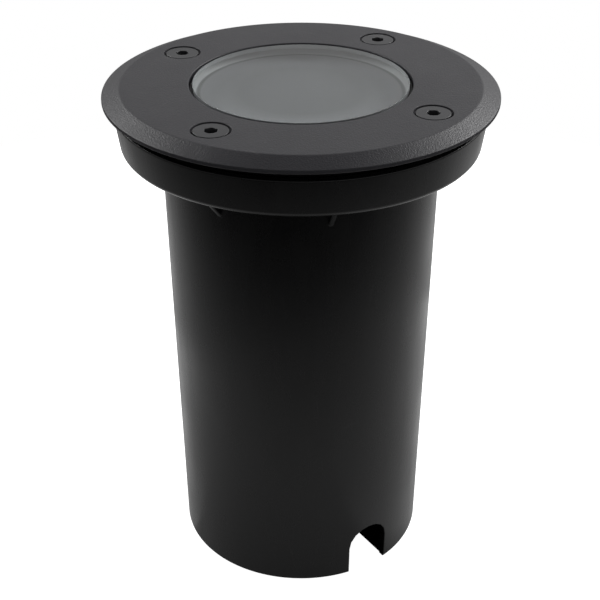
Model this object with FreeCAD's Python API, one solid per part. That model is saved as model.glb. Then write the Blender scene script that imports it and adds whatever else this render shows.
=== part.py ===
import FreeCAD, Part
import math
import os

# Round light for the ground, hanging in a moulded mounting sleeve.
# Millimetres. The origin is the centre of the sleeve's foot and +Z points up out of the ground.
# The sleeve's two cable notches face -Y and +Y.
# Radial sizes are added up from the lamp outwards, and heights from the foot up to the top face.

V = FreeCAD.Vector
UP = V(0, 0, 1)
os.makedirs("parts", exist_ok=True)

# Overlaps of the modelling operations
cut_overrun = 1.0
weld_overlap = 0.6

# Replaceable reflector lamp with a two-pin twist cap
lamp_radius = 25.0
lamp_length = 48.0
lamp_rim_height = 6.0
lamp_wall = 1.5
lamp_neck_radius = 9.6
lamp_cap_radius = 8.0
lamp_cap_height = 8.0
lamp_bulge = 2.0
lamp_fin_count = 12
lamp_fin_width = 1.4
lamp_fin_depth = 1.6
lamp_fin_inset = 0.3
lamp_front_gap = 5.0
lens_fit = 0.15
lens_plate = 2.4
lens_cone_count = 4
lens_cone_radius = 6.0
lens_cone_foot_radius = 2.8
lens_cone_circle = 13.6
lens_cone_gap = 0.4
board_thickness = 1.6
board_depth = 9.6
board_fit = 0.2
led_radius = 1.8
led_height = 0.5
pin_spacing = 10.0
pin_length = 7.0
pin_neck_radius = 1.5
pin_head_radius = 2.5
pin_head_height = 3.2

# Lampholder with twist-and-lock slots
twist_angle = 30.0
slot_clearance = 0.3
cap_gap = 0.3
holder_height = 25.7
holder_radius = 10.4
holder_top_plate = 3.0
holder_chamber_radius = 8.2
holder_ear_height = 6.0
holder_ear_radius = 4.5
holder_ear_offset = 14.6
holder_back_thickness = 2.5
holder_fit = 0.1
contact_thickness = 0.5
contact_width = 4.0
contact_gap = 0.3
contact_tongue = 5.2
contact_foot = 4.4

# Cast housing, from its bore outwards
lamp_clearance = 4.5
housing_wall = 3.0
housing_draft = 0.5
housing_floor = 3.5
housing_foot_bevel = 2.0
rib_count = 4
rib_width = 3.0
rib_height = 2.7
rib_lead = 3.0
flange_thickness = 4.0
bracket_boss_radius = 3.5
bracket_boss_height = 6.0
bracket_boss_inset = 1.7
block_pad_height = 4.0
block_pad_margin = 0.8
tapped_floor = 1.0

# Mounting sleeve, from its bore outwards
housing_clearance = 1.8
tube_wall = 2.5
tube_flare = 1.5
base_thickness = 2.0
foot_bevel = 0.8
collar_height = 10.0
collar_floor = 2.5
collar_wall = 2.2
collar_flare = 1.5
collar_round = 1.1
collar_lip_bevel = 0.5
collar_gap = 3.0
gusset_count = 8
gusset_width = 2.0
gusset_inset = 1.7
notch_width = 13.6
notch_height = 16.5
drain_radius = 3.0
drain_circle = 24.0
drain_angle = 35.0
cable_space_height = 18.0

# Seats of the glass and the trim ring
seat_width = 3.0
pocket_wall = 3.3
pocket_clearance = 1.7
glass_step = 4.6
glass_gap = 0.6
glass_thickness = 8.0
glass_recess = 1.0
glass_edge_break = 0.5
gasket_thickness = 1.5
gasket_inset = 1.0
bead_thickness = 1.5
bead_rise = 1.2
bead_fit = 0.1
screw_offset = 1.5
screw_edge = 6.0
boss_radius = 5.5
flange_clearance = 1.0
trim_overhang = 2.8
trim_thickness = 3.0
rim_height = 1.0
bevel_width = 5.0
window_edge_break = 0.3

# Countersunk screws of the trim ring
screw_count = 4
screw_angle = 22.5
screw_length = 12.0
screw_head_radius = 5.0
screw_shank_radius = 2.5
screw_recess = 0.3
screw_socket_flats = 3.0
screw_socket_depth = 1.8
countersink_clearance = 0.2
trim_hole_clearance = 0.25
tapped_clearance = 0.1
tapped_lead_in = 1.0

# Small screws inside
small_screw_radius = 1.45
small_head_radius = 2.8
small_head_height = 1.9
small_hole_radius = 1.5
small_hole_clearance = 0.15
small_drive_width = 0.8
small_drive_depth = 0.9
small_drive_length = 4.0

# Strip that carries the lampholder
strip_thickness = 1.2
strip_width = 12.0
strip_rise = 10.5
strip_foot_end = 3.2
strip_leg_inset = 4.0
lead_hole_radius = 1.5

# Connector for the incoming cable
pole_count = 3
pole_pitch = 9.0
block_depth = 11.0
block_height = 12.0
block_wall_gap = 1.0
clamp_side = 4.8
clamp_bore_radius = 1.3
clamp_recess = 0.5
clamp_fit = 0.1
clamp_screw_radius = 1.25
clamp_screw_spacing = 5.6
clamp_screw_recess = 1.6
clamp_well_radius = 1.7
block_screw_radius = 1.2
block_screw_head_radius = 2.0
block_screw_head_height = 1.4
block_hole_clearance = 0.1

# Leads and the earthing point
lead_radius = 1.0
lead_bend = 3.0
lead_entry = 4.4
lead_offset = 4.0
lead_drop = 10.0
tag_thickness = 0.8
tag_radius = 3.1
tag_neck_width = 2.6
tag_barrel_radius = 1.7
tag_barrel_length = 5.0
tag_reach = 4.4

# Cable gland
cable_radius = 4.0
seal_wall = 2.5
seal_fit = 0.1
seal_length = 8.5
gland_bore_clearance = 1.0
gland_seat_wall = 1.0
gland_barrel_length = 9.0
gland_thread_step = 0.35
gland_thread_fit = 0.15
gland_hex_flats = 20.0
gland_hex_height = 4.5
gland_washer_radius = 11.5
gland_washer_thickness = 1.5
gland_spigot_end = 1.5
locknut_flats = 22.0
locknut_height = 3.5
gland_nut_length = 14.0
gland_nut_dome = 5.0
gland_nut_gap = 2.0
gland_mouth_clearance = 1.2
gland_nut_thread_fit = 0.15

# Heights, from the sleeve's foot up through the gland, lampholder and lamp to the top face
gland_nut_low = base_thickness + cable_space_height
gland_nut_top = gland_nut_low + gland_nut_length
gland_hex_low = gland_nut_top + gland_nut_gap
gland_top = gland_hex_low + gland_hex_height
floor_low = gland_top + gland_washer_thickness
floor_top = floor_low + housing_floor
tapped_low = floor_low + tapped_floor
locknut_top = floor_top + locknut_height
block_low = floor_top + block_pad_height
block_middle = block_low + block_height / 2
boss_top = floor_top + bracket_boss_height
holder_low = boss_top + strip_rise
holder_top = holder_low + holder_height
lamp_foot = holder_top + cap_gap
pin_low = lamp_foot - pin_length
lamp_top = lamp_foot + lamp_length
glass_low = lamp_top + lamp_front_gap
glass_top = glass_low + glass_thickness
pocket_low = glass_low - gasket_thickness
overall_height = glass_top + glass_recess
trim_low = overall_height - trim_thickness
rim_top = trim_low + rim_height
glass_shoulder = trim_low - bead_thickness
flange_low = trim_low - flange_thickness
collar_top = trim_low - collar_gap
collar_low = collar_top - collar_height
collar_seat = collar_low + collar_floor

# Radii of the gland, from the cable outwards
gland_bore_radius = cable_radius + gland_bore_clearance
gland_nut_mouth_radius = cable_radius + gland_mouth_clearance
seal_radius = cable_radius + seal_wall
gland_barrel_radius = seal_radius + seal_fit + gland_seat_wall
gland_thread_radius = gland_barrel_radius + gland_thread_step

# Radii, from the lamp outwards
bore_radius = lamp_radius + lamp_clearance
bore_foot_radius = bore_radius - housing_draft
body_radius = bore_radius + housing_wall
body_foot_radius = body_radius - housing_draft
rib_radius = body_radius + rib_height
tube_bore_radius = rib_radius + housing_clearance
tube_radius = tube_bore_radius + tube_wall
tube_foot_radius = tube_radius - tube_flare
seat_radius = tube_bore_radius + seat_width
pocket_radius = seat_radius - pocket_wall
glass_flange_radius = pocket_radius - pocket_clearance
glass_radius = glass_flange_radius - glass_step
window_radius = glass_radius + glass_gap
screw_circle = seat_radius + screw_offset
flange_radius = screw_circle + screw_edge
collar_low_radius = flange_radius + flange_clearance + collar_wall
collar_radius = collar_low_radius + collar_flare
trim_radius = collar_radius + trim_overhang
boss_offset = bore_foot_radius - bracket_boss_radius - bracket_boss_inset
leg_offset = boss_offset - strip_leg_inset
block_length = pole_count * pole_pitch
block_far = math.sqrt((bore_foot_radius - block_wall_gap) ** 2 - (block_length / 2) ** 2)
block_near = block_far - block_depth
block_centre = block_near + block_depth / 2
pole_places = [(k - (pole_count - 1) / 2) * pole_pitch for k in range(pole_count)]


# A cylinder standing on the height low
def disc(radius, low, high, x=0, y=0):
    return Part.makeCylinder(radius, high - low, V(x, y, low))


def ring(outer, inner, low, high, x=0, y=0):
    bore = disc(inner, low - cut_overrun, high + cut_overrun, x, y)
    return disc(outer, low, high, x, y).cut(bore)


# A box given by its corners
def block(low, high):
    size = V(*high) - V(*low)
    return Part.makeBox(size.x, size.y, size.z, V(*low))


# A flat face from corner points
def plate(points):
    return Part.Face(Part.makePolygon(points + points[:1]))


# A turned solid from its half section, given as radius and height
def turned(section):
    return plate([V(r, 0, z) for r, z in section]).revolve(V(), UP, 360)


# A hexagonal prism, by its width across flats
def hexagon(flats, low, high, x=0, y=0):
    corner = flats / math.sqrt(3)
    turns = [math.radians(60 * k) for k in range(6)]
    points = [V(x + corner * math.cos(t), y + corner * math.sin(t), low) for t in turns]
    return plate(points).extrude(V(0, 0, high - low))


def turned_by(shape, angle):
    copy = shape.copy()
    copy.rotate(V(), UP, angle)
    return copy


def around(shape, count, start=0):
    return [turned_by(shape, start + 360 * k / count) for k in range(count)]


def fused(first, others):
    return first.fuse(others).removeSplitter()


# The circular edges of a turned solid that lie at one radius and height
def circles_at(shape, radius, height):
    found = []
    for edge in shape.Edges:
        curve = edge.Curve
        if isinstance(curve, Part.Circle) and math.isclose(curve.Radius, radius, rel_tol=1e-5):
            if math.isclose(curve.Center.z, height, abs_tol=1e-5 * radius):
                found.append(edge)
    return found


def save(name, solids):
    shape = solids[0] if len(solids) == 1 else Part.makeCompound(solids)
    shape.exportStep("parts/" + name + ".step")


# Outer radius of the sleeve's tapered tube at a height
def tube_radius_at(height):
    return tube_foot_radius + tube_flare * height / collar_low


# Outer radius of the flared collar at a height
def collar_radius_at(height):
    return collar_low_radius + collar_flare * (height - collar_low) / collar_height


# Tube, base and collar of the sleeve are one half section, turned once
def sleeve_shell():
    shell = turned([
        (0, 0),
        (tube_foot_radius, 0),
        (tube_radius, collar_low),
        (collar_low_radius, collar_low),
        (collar_radius, collar_top),
        (collar_radius - collar_wall, collar_top),
        (collar_radius_at(collar_seat) - collar_wall, collar_seat),
        (tube_bore_radius, collar_seat),
        (tube_radius_at(base_thickness) - tube_wall, base_thickness),
        (0, base_thickness),
    ])
    shell = shell.makeChamfer(foot_bevel, circles_at(shell, tube_foot_radius, 0))
    shell = shell.makeFillet(collar_round, circles_at(shell, collar_low_radius, collar_low))
    lip = circles_at(shell, collar_radius, collar_top)
    return shell.makeChamfer(collar_lip_bevel, lip)


# One gusset at 45 degrees between the tube and the underside of the collar
def gusset():
    outer = collar_low_radius - gusset_inset
    drop = outer - tube_radius
    foot = collar_low - drop
    inner = tube_radius_at(foot) - tube_wall / 2
    top = collar_low + collar_floor / 2
    profile = plate([
        V(inner, -gusset_width / 2, foot),
        V(tube_radius_at(foot), -gusset_width / 2, foot),
        V(outer, -gusset_width / 2, collar_low),
        V(outer, -gusset_width / 2, top),
        V(inner, -gusset_width / 2, top),
    ])
    return profile.extrude(V(0, gusset_width, 0))


# Arched cable channel from notch to notch, cut through both walls and the base
def cable_channel():
    half = notch_width / 2
    spring = notch_height - half
    start = -tube_radius - cut_overrun
    left, right = V(-half, start, spring), V(half, start, spring)
    arch = Part.Arc(right, V(0, start, notch_height), left).toShape()
    sides = Part.makePolygon([left, V(-half, start, -cut_overrun), V(half, start, -cut_overrun), right])
    outline = Part.Wire([arch] + sides.Edges)
    return Part.Face(outline).extrude(V(0, -2 * start, 0))


def drain_holes():
    hole = disc(drain_radius, -cut_overrun, base_thickness + cut_overrun, drain_circle)
    return [turned_by(hole, a) for a in (drain_angle, -drain_angle, 180 + drain_angle, 180 - drain_angle)]


def mounting_sleeve():
    gussets = around(gusset(), gusset_count, 180 / gusset_count)
    return fused(sleeve_shell(), gussets).cut([cable_channel()] + drain_holes())


# Upright rib that centres the housing in the sleeve, tapered at its foot
def centring_rib():
    inner = body_foot_radius - weld_overlap
    foot = floor_low + housing_foot_bevel
    profile = plate([
        V(inner, -rib_width / 2, foot),
        V(body_foot_radius, -rib_width / 2, foot),
        V(rib_radius, -rib_width / 2, foot + rib_lead),
        V(rib_radius, -rib_width / 2, collar_seat + weld_overlap),
        V(inner, -rib_width / 2, collar_seat + weld_overlap),
    ])
    return profile.extrude(V(0, rib_width, 0))


def small_tapping(x, y, top):
    return disc(small_hole_radius, tapped_low, top + cut_overrun, x, y)


# Places of the two connector screws, between the poles
def block_screw_places():
    return [-pole_pitch / 2, pole_pitch / 2]


def lamp_housing():
    body = turned([
        (0, floor_low),
        (body_foot_radius, floor_low),
        (body_radius, collar_seat),
        (seat_radius, collar_seat),
        (seat_radius, flange_low),
        (flange_radius, flange_low),
        (flange_radius, trim_low),
        (pocket_radius, trim_low),
        (pocket_radius, pocket_low),
        (bore_radius, pocket_low),
        (bore_foot_radius, floor_top),
        (0, floor_top),
    ])
    body = body.makeChamfer(housing_foot_bevel, circles_at(body, body_foot_radius, floor_low))
    screw_boss = disc(boss_radius, collar_seat, flange_low + weld_overlap, screw_circle)
    added = around(screw_boss, screw_count, screw_angle)
    added += around(centring_rib(), rib_count, screw_angle)
    for x, y in ((boss_offset, 0), (-boss_offset, 0), (0, -boss_offset)):
        added.append(disc(bracket_boss_radius, floor_top - weld_overlap, boss_top, x, y))
    pad_x = pole_pitch / 2 + block_screw_head_radius + block_pad_margin
    pad_y = block_screw_head_radius + block_pad_margin
    added.append(block((-pad_x, block_centre - pad_y, floor_top - weld_overlap),
                       (pad_x, block_centre + pad_y, block_low)))
    tapping = disc(screw_shank_radius + tapped_clearance, collar_seat - cut_overrun,
                   trim_low + cut_overrun, screw_circle)
    lead_in = Part.makeCone(screw_shank_radius + tapped_clearance,
                            screw_shank_radius + tapped_clearance + tapped_lead_in,
                            tapped_lead_in, V(screw_circle, 0, trim_low - tapped_lead_in))
    holes = around(tapping.fuse(lead_in), screw_count, screw_angle)
    holes.append(disc(gland_thread_radius + gland_thread_fit, floor_low - cut_overrun,
                      floor_top + cut_overrun))
    holes += [small_tapping(x, y, boss_top) for x, y in
              ((boss_offset, 0), (-boss_offset, 0), (0, -boss_offset))]
    holes += [disc(block_screw_radius + block_hole_clearance, tapped_low, block_low + cut_overrun,
                   x, block_centre) for x in block_screw_places()]
    return fused(body, added).cut(holes)


# Flat gasket that the glass rests on
def housing_gasket():
    return ring(glass_flange_radius + gasket_inset / 2, bore_radius + gasket_inset,
                pocket_low, glass_low)


# Stepped glass: the flange is held under the trim ring and the raised face fills the window
def glass():
    return turned([
        (0, glass_low),
        (glass_flange_radius - glass_edge_break, glass_low),
        (glass_flange_radius, glass_low + glass_edge_break),
        (glass_flange_radius, glass_shoulder),
        (glass_radius, glass_shoulder),
        (glass_radius, glass_top - glass_edge_break),
        (glass_radius - glass_edge_break, glass_top),
        (0, glass_top),
    ])


# Silicone bead between the glass step and the trim ring, rising into the gap round the glass
def glass_seal():
    return turned([
        (glass_radius + bead_fit, glass_shoulder),
        (glass_flange_radius - bead_fit, glass_shoulder),
        (glass_flange_radius - bead_fit, trim_low),
        (window_radius - bead_fit, trim_low),
        (window_radius - bead_fit, trim_low + bead_rise),
        (glass_radius + bead_fit, trim_low + bead_rise),
    ])


# Countersunk hole of the trim ring, offset outwards from the screw's head by one clearance
def trim_screw_hole():
    top_radius = screw_head_radius + countersink_clearance
    foot_radius = screw_shank_radius + trim_hole_clearance
    head_top = overall_height - screw_recess
    cone_low = head_top - (top_radius - foot_radius)
    hole = turned([
        (0, trim_low - cut_overrun),
        (foot_radius, trim_low - cut_overrun),
        (foot_radius, cone_low),
        (top_radius, head_top),
        (top_radius, overall_height + cut_overrun),
        (0, overall_height + cut_overrun),
    ])
    hole.translate(V(screw_circle, 0, 0))
    return hole


def trim_ring():
    body = turned([
        (window_radius, trim_low),
        (trim_radius, trim_low),
        (trim_radius, rim_top),
        (trim_radius - bevel_width, overall_height),
        (window_radius + window_edge_break, overall_height),
        (window_radius, overall_height - window_edge_break),
    ])
    return body.cut(around(trim_screw_hole(), screw_count, screw_angle))


def trim_screws():
    head_top = overall_height - screw_recess
    screw = turned([
        (0, head_top - screw_length),
        (screw_shank_radius, head_top - screw_length),
        (screw_shank_radius, head_top - (screw_head_radius - screw_shank_radius)),
        (screw_head_radius, head_top),
        (0, head_top),
    ])
    socket = hexagon(screw_socket_flats, head_top - screw_socket_depth, head_top + cut_overrun)
    screw = screw.cut(socket)
    screw.translate(V(screw_circle, 0, 0))
    return around(screw, screw_count, screw_angle)


# Flaring line of the lamp's bell, or of its fins where it stands further out
def bell_line(extra, foot):
    rim_low = lamp_top - lamp_rim_height
    start = V(lamp_neck_radius + extra, 0, foot)
    end = V(lamp_radius - lamp_fin_depth + extra, 0, rim_low)
    middle = V((start.x + end.x) / 2 + lamp_bulge, 0, (start.z + end.z) / 2 - lamp_bulge)
    return Part.Arc(start, middle, end).toShape(), start, end


def lamp_fin():
    foot = lamp_foot + lamp_cap_height + weld_overlap
    bell, start, end = bell_line(lamp_fin_depth - lamp_fin_inset, foot)
    inner = lamp_neck_radius - weld_overlap
    corners = Part.makePolygon([end, end + V(0, 0, weld_overlap), V(inner, 0, end.z + weld_overlap),
                                V(inner, 0, foot), start])
    fin = Part.Face(Part.Wire([bell] + corners.Edges)).extrude(V(0, lamp_fin_width, 0))
    fin.translate(V(0, -lamp_fin_width / 2, 0))
    return fin


# Body of the lamp: cap, finned bell and front rim, hollow from the front
def lamp_shell():
    shoulder = lamp_foot + lamp_cap_height
    bell, start, end = bell_line(0, shoulder)
    corners = Part.makePolygon([
        end,
        V(lamp_radius, 0, end.z),
        V(lamp_radius, 0, lamp_top),
        V(0, 0, lamp_top),
        V(0, 0, lamp_foot),
        V(lamp_cap_radius, 0, lamp_foot),
        V(lamp_cap_radius, 0, shoulder),
        start,
    ])
    body = Part.Face(Part.Wire([bell] + corners.Edges)).revolve(V(), UP, 360)
    body = fused(body, around(lamp_fin(), lamp_fin_count))
    board_seat = lamp_radius - 2 * lamp_wall
    hollow = turned([
        (0, lamp_top - board_depth),
        (board_seat, lamp_top - board_depth),
        (board_seat, lamp_top - lens_plate),
        (lamp_radius - lamp_wall, lamp_top - lens_plate),
        (lamp_radius - lamp_wall, lamp_top + cut_overrun),
        (0, lamp_top + cut_overrun),
    ])
    return body.cut(hollow)


# Places of the light sources: one in the middle and the rest on a circle
def led_places():
    turns = [2 * math.pi * k / lens_cone_count for k in range(lens_cone_count)]
    places = [(0, 0)]
    places += [(lens_cone_circle * math.cos(t), lens_cone_circle * math.sin(t)) for t in turns]
    return places


def lamp_board():
    low = lamp_top - board_depth
    high = low + board_thickness
    body = disc(lamp_radius - 2 * lamp_wall - board_fit, low, high)
    return fused(body, [disc(led_radius, high - led_height, high + led_height, x, y)
                        for x, y in led_places()])


def lamp_lens():
    low = lamp_top - lens_plate
    cone_low = lamp_top - board_depth + board_thickness + led_height + lens_cone_gap
    body = disc(lamp_radius - lamp_wall - lens_fit, low, lamp_top)
    cones = [Part.makeCone(lens_cone_foot_radius, lens_cone_radius, low + weld_overlap - cone_low,
                           V(x, y, cone_low)) for x, y in led_places()]
    return fused(body, cones)


def lamp_pins():
    pin = fused(disc(pin_head_radius, pin_low, pin_low + pin_head_height, pin_spacing / 2),
                [disc(pin_neck_radius, pin_low, lamp_foot, pin_spacing / 2)])
    return around(pin, 2)


# Keyhole slot of the lampholder: a round entry, then a narrow arc that the pin's neck turns into
def keyhole_slot():
    circle = pin_spacing / 2
    half = pin_neck_radius + slot_clearance
    low, high = holder_top - holder_top_plate - cut_overrun, holder_top + cut_overrun
    arc = ring(circle + half, circle - half, low, high)
    wedge = plate([V(0, 0, low), V(holder_radius, 0, low),
                   V(holder_radius, holder_radius * math.tan(math.radians(twist_angle)), low)])
    arc = arc.common(wedge.extrude(V(0, 0, high - low)))
    entry = turned_by(disc(pin_head_radius + slot_clearance, low, high, circle), twist_angle)
    return fused(arc, [disc(half, low, high, circle), entry])


def holder_ears(radius, low, high):
    ears = []
    for side in (-1, 1):
        x = side * holder_ear_offset
        ears.append(disc(radius, low, high, x))
        ears.append(block((min(0, x), -radius, low), (max(0, x), radius, high)))
    return ears


def lampholder_body():
    body = fused(disc(holder_radius, holder_low, holder_top),
                 holder_ears(holder_ear_radius, holder_low, holder_low + holder_ear_height))
    chamber = disc(holder_chamber_radius, holder_low - cut_overrun, holder_top - holder_top_plate)
    screw_holes = [disc(small_screw_radius + small_hole_clearance, holder_low - cut_overrun,
                        holder_low + holder_ear_height + cut_overrun, side * holder_ear_offset)
                   for side in (-1, 1)]
    head_wells = [disc(small_head_radius + small_hole_clearance, holder_low + holder_ear_height,
                       holder_low + holder_ear_height + small_head_height, side * holder_ear_offset)
                  for side in (-1, 1)]
    return body.cut([chamber] + screw_holes + head_wells + around(keyhole_slot(), 2))


def lampholder_back():
    low, high = holder_low, holder_low + holder_back_thickness
    body = disc(holder_chamber_radius - holder_fit, low, high)
    return body.cut([disc(lead_hole_radius, low - cut_overrun, high + cut_overrun, side * lead_offset)
                     for side in (-1, 1)])


# Spring strip from a lead up the chamber wall to the underside of the lamp pin
def lampholder_contacts():
    foot_low = holder_low + holder_back_thickness
    top = pin_low - contact_gap
    outer = math.sqrt((holder_chamber_radius - holder_fit) ** 2 - (contact_width / 2) ** 2)
    half = contact_width / 2
    leg = block((outer - contact_thickness, -half, foot_low), (outer, half, top))
    foot = block((outer - contact_foot - contact_thickness, -half, foot_low),
                 (outer, half, foot_low + contact_thickness))
    tongue = block((outer - contact_tongue, -half, top - contact_thickness), (outer, half, top))
    return around(fused(leg, [foot, tongue]), 2)


def pan_screw(x, y, seat, depth):
    body = fused(disc(small_head_radius, seat, seat + small_head_height, x, y),
                 [disc(small_screw_radius, seat - depth, seat, x, y)])
    half_length, half_width = small_drive_length / 2, small_drive_width / 2
    low = seat + small_head_height - small_drive_depth
    high = seat + small_head_height + cut_overrun
    along = block((x - half_length, y - half_width, low), (x + half_length, y + half_width, high))
    across = block((x - half_width, y - half_length, low), (x + half_width, y + half_length, high))
    return body.cut([along, across])


def holder_screws():
    seat = holder_low + holder_ear_height
    depth = holder_ear_height + 2 * strip_thickness
    return [pan_screw(side * holder_ear_offset, 0, seat, depth) for side in (-1, 1)]


# Bent steel strip: two feet on the bosses, two legs and a raised bridge
def holder_bracket():
    half = strip_width / 2
    bridge = block((-leg_offset, -half, holder_low - strip_thickness), (leg_offset, half, holder_low))
    pieces, holes = [], []
    for side in (-1, 1):
        leg_inner, leg_outer = side * (leg_offset - strip_thickness), side * leg_offset
        foot_end = side * (boss_offset + strip_foot_end)
        pieces.append(block((min(leg_inner, leg_outer), -half, boss_top),
                            (max(leg_inner, leg_outer), half, holder_low)))
        pieces.append(block((min(leg_inner, foot_end), -half, boss_top),
                            (max(leg_inner, foot_end), half, boss_top + strip_thickness)))
        clear = small_screw_radius + small_hole_clearance
        holes.append(disc(clear, boss_top - cut_overrun, boss_top + strip_thickness + cut_overrun,
                          side * boss_offset))
        bridge_low, bridge_high = holder_low - strip_thickness - cut_overrun, holder_low + cut_overrun
        holes.append(disc(clear, bridge_low, bridge_high, side * holder_ear_offset))
        holes.append(disc(lead_hole_radius, bridge_low, bridge_high, side * lead_offset))
    return fused(bridge, pieces).cut(holes)


def bracket_screws():
    seat = boss_top + strip_thickness
    depth = seat - tapped_low - small_hole_clearance
    return [pan_screw(side * boss_offset, 0, seat, depth) for side in (-1, 1)]


# Upright square bar along Y through the connector at one pole
def pole_bar(x, side, start, end):
    half = side / 2
    return block((x - half, start, block_middle - half), (x + half, end, block_middle + half))


def terminal_block():
    body = block((-block_length / 2, block_near, block_low),
                 (block_length / 2, block_far, block_low + block_height))
    top = block_low + block_height + cut_overrun
    cuts = []
    for x in pole_places:
        cuts.append(pole_bar(x, clamp_side + 2 * clamp_fit,
                             block_near - cut_overrun, block_far + cut_overrun))
        for side in (-1, 1):
            y = block_centre + side * clamp_screw_spacing / 2
            cuts.append(disc(clamp_well_radius, block_middle, top, x, y))
    for x in block_screw_places():
        cuts.append(disc(block_screw_radius + block_hole_clearance, block_low - cut_overrun, top,
                         x, block_centre))
        cuts.append(disc(block_screw_head_radius + block_hole_clearance,
                         block_low + block_height - block_screw_head_height, top, x, block_centre))
    return body.cut(cuts)


# Brass clamps: a square bar for each pole, bored for the leads and tapped for two screws
def terminal_clamps():
    start, end = block_near + clamp_recess, block_far - clamp_recess
    clamps = []
    for x in pole_places:
        bore = Part.makeCylinder(clamp_bore_radius, end - start + 2 * cut_overrun,
                                 V(x, start - cut_overrun, block_middle), V(0, 1, 0))
        taps = [disc(clamp_screw_radius + clamp_fit, block_middle, block_middle + clamp_side,
                     x, block_centre + side * clamp_screw_spacing / 2) for side in (-1, 1)]
        clamps.append(pole_bar(x, clamp_side, start, end).cut([bore] + taps))
    return clamps


def terminal_screws():
    low = block_middle + lead_radius + clamp_fit
    high = block_low + block_height - clamp_screw_recess
    screws = []
    for x in pole_places:
        for side in (-1, 1):
            y = block_centre + side * clamp_screw_spacing / 2
            slot = block((x - clamp_screw_radius, y - small_drive_width / 2, high - small_drive_width),
                         (x + clamp_screw_radius, y + small_drive_width / 2, high + cut_overrun))
            screws.append(disc(clamp_screw_radius, low, high, x, y).cut(slot))
    return screws


def block_screws():
    head_low = block_low + block_height - block_screw_head_height
    screws = []
    for x in block_screw_places():
        head = disc(block_screw_head_radius, head_low, block_low + block_height, x, block_centre)
        shank = disc(block_screw_radius, tapped_low + block_hole_clearance, head_low, x, block_centre)
        high = block_low + block_height
        slot = block((x - block_screw_head_radius, block_centre - small_drive_width / 2,
                      high - small_drive_width),
                     (x + block_screw_head_radius, block_centre + small_drive_width / 2,
                      high + cut_overrun))
        screws.append(fused(head, [shank]).cut(slot))
    return screws


# Round lead along straight runs that are joined by tangent arcs
def lead(points):
    edges = []
    start = points[0]
    for corner, after in zip(points[1:-1], points[2:]):
        back = (start - corner).normalize()
        on = (after - corner).normalize()
        turn = math.pi - back.getAngle(on)
        cut = lead_bend * math.tan(turn / 2)
        enter, leave = corner + back * cut, corner + on * cut
        middle = (back + on).normalize()
        reach = lead_bend / math.cos(turn / 2) - lead_bend
        edges.append(Part.LineSegment(start, enter).toShape())
        edges.append(Part.Arc(enter, corner + middle * reach, leave).toShape())
        start = leave
    edges.append(Part.LineSegment(start, points[-1]).toShape())
    direction = (points[1] - points[0]).normalize()
    profile = Part.Wire([Part.makeCircle(lead_radius, points[0], direction)])
    return Part.Wire(edges).makePipeShell([profile], True, False)


# Lead from a lampholder contact down through the bridge and across to its pole
def lamp_lead(side):
    start = holder_low + holder_back_thickness
    level = block_middle
    x, pole = side * lead_offset, side * pole_pitch
    across = block_near - lead_drop / 2
    return lead([
        V(x, 0, start),
        V(x, 0, level),
        V(pole, across, level),
        V(pole, block_near + lead_entry, level),
    ])


def tag_barrel_place():
    return -boss_offset + tag_reach, boss_top + tag_barrel_radius


def earth_tag():
    inner, level = tag_barrel_place()
    flat = disc(tag_radius, boss_top, boss_top + tag_thickness, 0, -boss_offset)
    neck = block((-tag_neck_width / 2, -boss_offset, boss_top),
                 (tag_neck_width / 2, inner + weld_overlap, boss_top + tag_thickness))
    barrel = Part.makeCylinder(tag_barrel_radius, tag_barrel_length, V(0, inner, level), V(0, 1, 0))
    body = fused(flat, [neck, barrel])
    bore = Part.makeCylinder(lead_radius + clamp_fit, tag_barrel_length + cut_overrun,
                             V(0, inner + weld_overlap, level), V(0, 1, 0))
    hole = disc(small_screw_radius + small_hole_clearance, boss_top - cut_overrun,
                boss_top + tag_thickness + cut_overrun, 0, -boss_offset)
    return body.cut([bore, hole])


def earth_screw():
    seat = boss_top + tag_thickness
    return pan_screw(0, -boss_offset, seat, seat - tapped_low - small_hole_clearance)


# Earth lead from the middle pole over the gland to the tag
def earth_lead():
    inner, level = tag_barrel_place()
    mouth = inner + tag_barrel_length
    return lead([
        V(0, block_near + lead_entry, block_middle),
        V(0, mouth + lead_drop, block_middle),
        V(0, mouth + lead_drop / 2, level),
        V(0, inner + 2 * weld_overlap, level),
    ])


# Gland body: spigot through the floor, hexagon below it and a barrel for the seal
def gland_body():
    spigot = disc(gland_thread_radius, gland_top - weld_overlap, locknut_top + gland_spigot_end)
    barrel = disc(gland_barrel_radius, gland_hex_low - gland_barrel_length, gland_hex_low + weld_overlap)
    body = fused(hexagon(gland_hex_flats, gland_hex_low, gland_top), [spigot, barrel])
    bore = disc(gland_bore_radius, gland_hex_low - gland_barrel_length - cut_overrun,
                locknut_top + gland_spigot_end + cut_overrun)
    seat = disc(seal_radius + seal_fit, gland_hex_low - gland_barrel_length - cut_overrun,
                gland_seal_top())
    return body.cut([bore, seat])


def gland_seal_top():
    return gland_nut_low + gland_nut_dome + seal_fit + seal_length


def gland_seal():
    return ring(seal_radius, cable_radius, gland_seal_top() - seal_length, gland_seal_top())


def gland_washer():
    return ring(gland_washer_radius, gland_thread_radius + gland_thread_fit, gland_top, floor_low)


def gland_locknut():
    body = hexagon(locknut_flats, floor_top, locknut_top)
    return body.cut(disc(gland_thread_radius + gland_thread_fit, floor_top - cut_overrun,
                         locknut_top + cut_overrun))


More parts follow.
